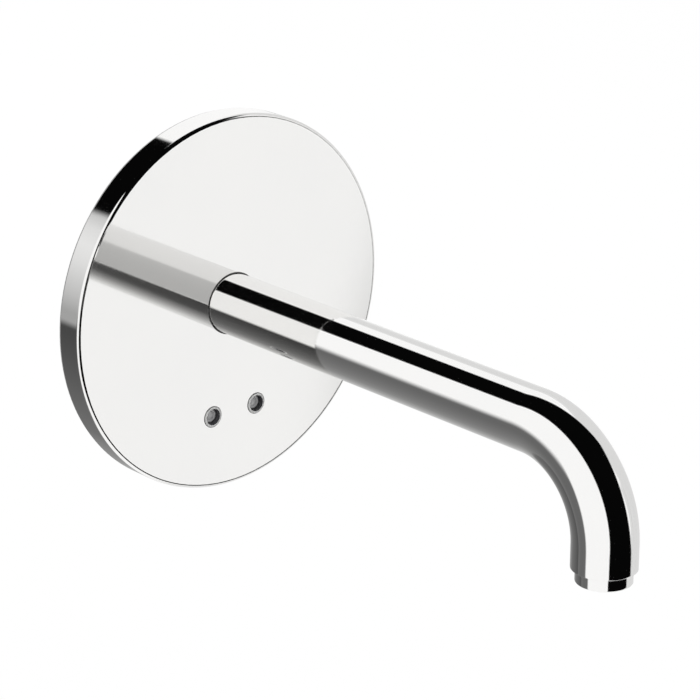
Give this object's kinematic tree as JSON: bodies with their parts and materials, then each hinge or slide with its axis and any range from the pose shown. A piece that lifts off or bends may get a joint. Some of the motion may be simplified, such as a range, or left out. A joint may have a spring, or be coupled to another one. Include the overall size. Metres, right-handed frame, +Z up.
{
  "type": "electronic basin mixer",
  "caption": "Wall-mounted touch-free basin mixer: round chrome plate with sensor windows, straight round spout bent down at its end, valve behind the wall.",
  "frame": {"origin": "on the axis of the plate and spout, in the wall's surface (the back of the plate's gasket and of the carrier plate)", "axes": "+Z up, -Y out of the wall along the spout, +Y into the wall, +X to the right for someone facing the plate"},
  "size_m": [0.16, 0.2678, 0.16],
  "materials": {
    "chrome_plating": "mirror polished chrome plating",
    "grey_rubber": "matt grey rubber",
    "black_rubber": "matt black rubber",
    "brass": "machined brass",
    "steel": "brushed stainless steel",
    "smoked_lens": "polished smoked window",
    "infrared_plastic": "glossy dark plastic",
    "black_plastic": "moulded black plastic",
    "white_plastic": "moulded off-white plastic",
    "grey_plastic": "moulded grey plastic",
    "ceramic": "lapped ceramic",
    "board": "green circuit board"
  },
  "bodies": {
    "mixer_body": {"aerator_seat_ring": "brass", "armature_tube": "steel", "block_screws": "steel", "bonnet_plate": "steel", "bonnet_screws": "steel", "carrier_plate": "steel", "cartridge_body": "white_plastic", "cartridge_nut": "brass", "cartridge_seal": "black_rubber", "check_cages": "white_plastic", "clip_rivets": "steel", "coil_nut": "steel", "coil_terminals": "black_plastic", "cold_check_spring": "steel", "cold_inlet_nipple": "brass", "emitter_bezel": "chrome_plating", "emitter_lens": "smoked_lens", "escutcheon_plate": "chrome_plating", "fixed_disc": "ceramic", "hot_check_spring": "steel", "hot_inlet_nipple": "brass", "infrared_emitter": "infrared_plastic", "infrared_receiver": "infrared_plastic", "inlet_filters": "steel", "lead_grommet": "black_rubber", "nipple_seals": "black_rubber", "outlet_nipple": "brass", "plunger_spring": "steel", "power_inlet": "black_plastic", "receiver_bezel": "chrome_plating", "receiver_lens": "smoked_lens", "retaining_clips": "steel", "sensor_circuit_board": "board", "sensor_cover_screws": "steel", "sensor_housing": "black_plastic", "sensor_housing_cover": "black_plastic", "sensor_lead": "black_rubber", "solenoid_coil": "black_plastic", "solenoid_plug": "black_plastic", "solenoid_yoke": "steel", "spout_grub_screw": "steel", "spout_seal_ring": "black_rubber", "spout_socket": "brass", "spout_tube": "chrome_plating", "valve_block": "brass", "valve_diaphragm": "black_rubber", "wall_gasket": "grey_rubber"},
    "hot_poppet": {"hot_check_poppet": "white_plastic"},
    "cold_poppet": {"cold_check_poppet": "white_plastic"},
    "mixing_spindle": {"mixing_stem": "brass", "mixing_disc": "ceramic", "temperature_knob": "grey_plastic", "stem_seal": "black_rubber"},
    "valve_plunger": {"plunger": "steel"},
    "membrane_centre": {"diaphragm_centre": "white_plastic"},
    "aerator_washer": {"aerator_seal": "black_rubber"},
    "aerator": {"aerator_housing": "chrome_plating", "aerator_insert": "white_plastic", "aerator_sieve": "steel"}
  },
  "joints": [
    {"name": "hot_check_travel", "type": "slide", "parent": "mixer_body", "child": "hot_poppet", "axis": [1, 0, 0], "range_m": [0, 0.0025], "stiffness_N_per_m": 60, "springref_m": -0.002, "deforming": ["hot_check_spring"]},
    {"name": "cold_check_travel", "type": "slide", "parent": "mixer_body", "child": "cold_poppet", "axis": [-1, 0, 0], "range_m": [0, 0.0025], "stiffness_N_per_m": 60, "springref_m": -0.002, "deforming": ["cold_check_spring"]},
    {"name": "mixing_turn", "type": "hinge", "parent": "mixer_body", "child": "mixing_spindle", "pos_m": [0, 0, -0.024], "axis": [0, -1, 0], "range_deg": [-60, 60]},
    {"name": "plunger_lift", "type": "slide", "parent": "mixer_body", "child": "valve_plunger", "axis": [0, 0, 1], "range_m": [0, 0.0018], "stiffness_N_per_m": 300, "springref_m": -0.003, "deforming": ["plunger_spring"]},
    {"name": "membrane_lift", "type": "slide", "parent": "mixer_body", "child": "membrane_centre", "axis": [0, 0, 1], "range_m": [0, 0.0012]},
    {"name": "aerator_drop", "type": "slide", "parent": "mixer_body", "child": "aerator_washer", "axis": [0, 0, -1], "range_m": [0, 0.005]},
    {"name": "aerator_turn", "type": "hinge", "parent": "aerator_washer", "child": "aerator", "pos_m": [0, -0.225, -0.0469], "axis": [0, 0, -1], "range_deg": [0, 1800]}
  ],
  "couplings": [
    {"joint": "membrane_lift", "follows": "plunger_lift", "ratio": 0.66667},
    {"joint": "aerator_drop", "follows": "aerator_turn", "m_per_rad": 0.00015915}
  ]
}
